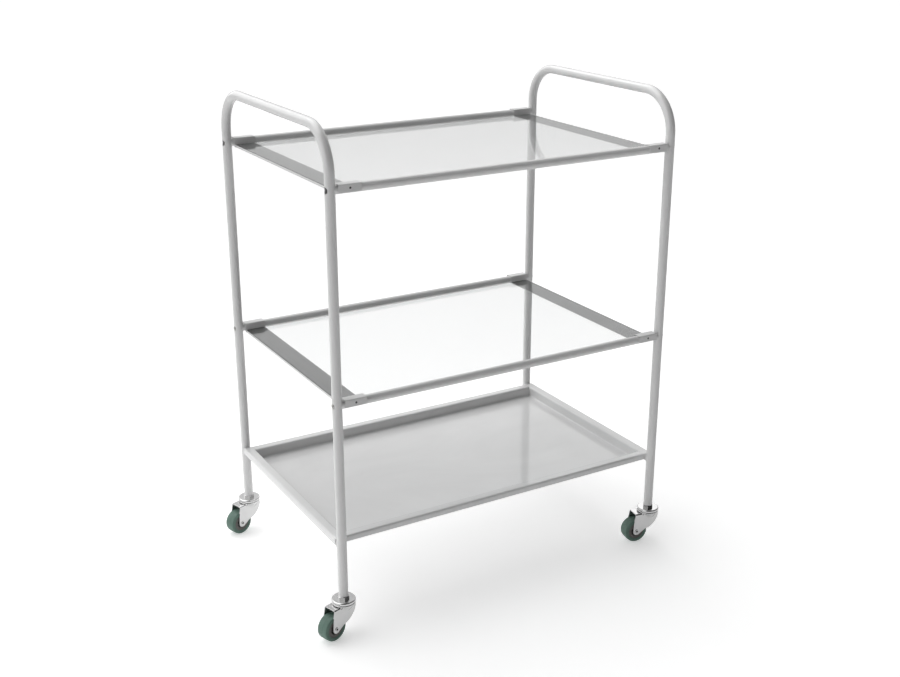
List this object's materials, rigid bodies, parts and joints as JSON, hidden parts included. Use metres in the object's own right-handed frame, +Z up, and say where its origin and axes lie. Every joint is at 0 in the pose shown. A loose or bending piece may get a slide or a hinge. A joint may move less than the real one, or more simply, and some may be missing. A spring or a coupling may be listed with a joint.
{
  "type": "rolling salon trolley",
  "caption": "Rolling trolley with bent-tube end hoops as handles, clear glass shelves hung on rail brackets, a shallow folded bottom tray and swivel casters.",
  "frame": {"origin": "on the floor, midway between the four legs, which is the centre of the footprint with the casters at rest", "axes": "+X along the front from the left hoop to the right hoop, +Y from the front to the rear, +Z up"},
  "size_m": [0.8172, 0.5174, 0.937],
  "materials": {
    "frame_paint": "semi-gloss light grey powder coat on steel tube",
    "bracket_paint": "semi-gloss light grey powder coat on sheet steel",
    "tray_paint": "satin light grey powder coat on folded sheet steel",
    "shelf_glass": "clear float glass with polished edges",
    "fastener_steel": "bright zinc-plated",
    "dark_screw_steel": "black oxide",
    "inner_steel": "plain turned steel",
    "caster_chrome": "bright plated pressed steel",
    "caster_zinc": "bright zinc-plated",
    "ball_steel": "hardened and polished",
    "bush_steel": "plain",
    "hub_plastic": "moulded warm dark grey",
    "wheel_tyre": "matt grey-green"
  },
  "bodies": {
    "root": {"left_hoop": "frame_paint", "right_hoop": "frame_paint", "left_cross_tube": "frame_paint", "right_cross_tube": "frame_paint", "top_front_rail": "frame_paint", "top_rear_rail": "frame_paint", "mid_front_rail": "frame_paint", "mid_rear_rail": "frame_paint", "rail_plugs": "inner_steel", "top_rail_bolts": "fastener_steel", "mid_rail_bolts": "fastener_steel", "mid_spacers": "inner_steel", "top_left_bracket": "bracket_paint", "top_right_bracket": "bracket_paint", "mid_left_bracket": "bracket_paint", "mid_right_bracket": "bracket_paint", "bracket_screws": "dark_screw_steel", "top_glass": "shelf_glass", "mid_glass": "shelf_glass", "tray": "tray_paint", "leg_sockets": "inner_steel", "stem_nuts": "caster_zinc", "fl_stem": "caster_zinc", "fl_top_plate": "caster_chrome", "fl_balls": "ball_steel", "rl_stem": "caster_zinc", "rl_top_plate": "caster_chrome", "rl_balls": "ball_steel", "fr_stem": "caster_zinc", "fr_top_plate": "caster_chrome", "fr_balls": "ball_steel", "rr_stem": "caster_zinc", "rr_top_plate": "caster_chrome", "rr_balls": "ball_steel"},
    "fl_swivel": {"fl_fork": "caster_chrome", "fl_axle": "caster_zinc", "fl_washers": "inner_steel"},
    "fl_wheel": {"fl_hub": "hub_plastic", "fl_tread": "wheel_tyre", "fl_bush": "bush_steel"},
    "rl_swivel": {"rl_fork": "caster_chrome", "rl_axle": "caster_zinc", "rl_washers": "inner_steel"},
    "rl_wheel": {"rl_hub": "hub_plastic", "rl_tread": "wheel_tyre", "rl_bush": "bush_steel"},
    "fr_swivel": {"fr_fork": "caster_chrome", "fr_axle": "caster_zinc", "fr_washers": "inner_steel"},
    "fr_wheel": {"fr_hub": "hub_plastic", "fr_tread": "wheel_tyre", "fr_bush": "bush_steel"},
    "rr_swivel": {"rr_fork": "caster_chrome", "rr_axle": "caster_zinc", "rr_washers": "inner_steel"},
    "rr_wheel": {"rr_hub": "hub_plastic", "rr_tread": "wheel_tyre", "rr_bush": "bush_steel"}
  },
  "joints": [
    {"name": "fl_swivel_turn", "type": "hinge", "parent": "root", "child": "fl_swivel", "pos_m": [-0.352, -0.2315, 0.066], "axis": [0, 0, 1], "continuous": true},
    {"name": "fl_wheel_spin", "type": "hinge", "parent": "fl_swivel", "child": "fl_wheel", "pos_m": [-0.38165, -0.24056, 0.025], "axis": [-0.2924, 0.9563, 0], "continuous": true},
    {"name": "rl_swivel_turn", "type": "hinge", "parent": "root", "child": "rl_swivel", "pos_m": [-0.352, 0.2315, 0.066], "axis": [0, 0, 1], "continuous": true},
    {"name": "rl_wheel_spin", "type": "hinge", "parent": "rl_swivel", "child": "rl_wheel", "pos_m": [-0.38165, 0.22244, 0.025], "axis": [-0.2924, 0.9563, 0], "continuous": true},
    {"name": "fr_swivel_turn", "type": "hinge", "parent": "root", "child": "fr_swivel", "pos_m": [0.352, -0.2315, 0.066], "axis": [0, 0, 1], "continuous": true},
    {"name": "fr_wheel_spin", "type": "hinge", "parent": "fr_swivel", "child": "fr_wheel", "pos_m": [0.32138, -0.22665, 0.025], "axis": [0.1564, 0.9877, 0], "continuous": true},
    {"name": "rr_swivel_turn", "type": "hinge", "parent": "root", "child": "rr_swivel", "pos_m": [0.352, 0.2315, 0.066], "axis": [0, 0, 1], "continuous": true},
    {"name": "rr_wheel_spin", "type": "hinge", "parent": "rr_swivel", "child": "rr_wheel", "pos_m": [0.38165, 0.24056, 0.025], "axis": [0.2924, -0.9563, 0], "continuous": true}
  ]
}
